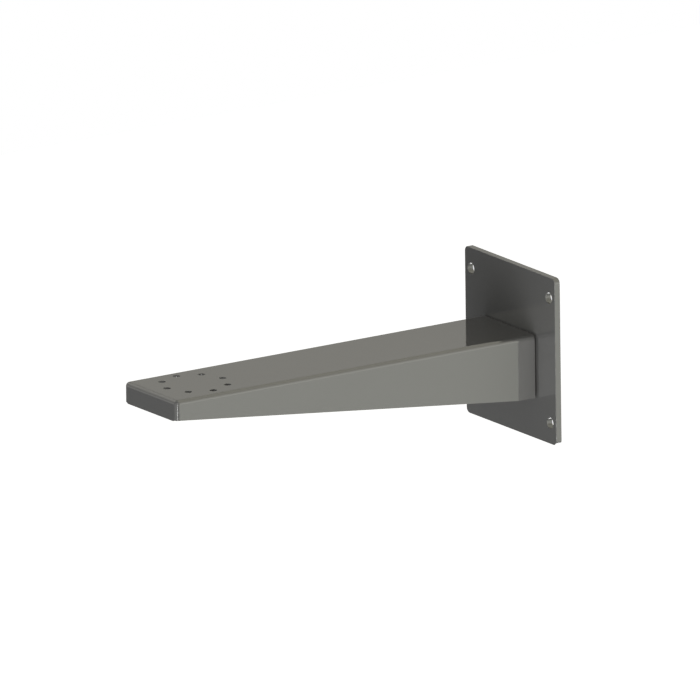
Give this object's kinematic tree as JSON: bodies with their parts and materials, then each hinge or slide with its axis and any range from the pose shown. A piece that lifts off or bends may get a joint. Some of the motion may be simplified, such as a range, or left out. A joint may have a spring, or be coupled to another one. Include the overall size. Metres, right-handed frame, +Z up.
{
  "type": "camera wall bracket",
  "caption": "Wall plate with a tapered folded arm, open underneath, and a ring of holes for a camera near its end.",
  "frame": {"origin": "centre of the wall plate's back face, which lies on the wall", "axes": "+Y into the wall, so the arm reaches out along -Y; +Z up; +X to the right of someone who faces the wall"},
  "size_m": [0.15, 0.4065, 0.16],
  "materials": {
    "plate_coating": "satin",
    "arm_coating": "satin",
    "weld_coating": "satin"
  },
  "bodies": {
    "root": {"wall_plate": "plate_coating", "arm": "arm_coating", "root_weld": "weld_coating"}
  },
  "joints": []
}
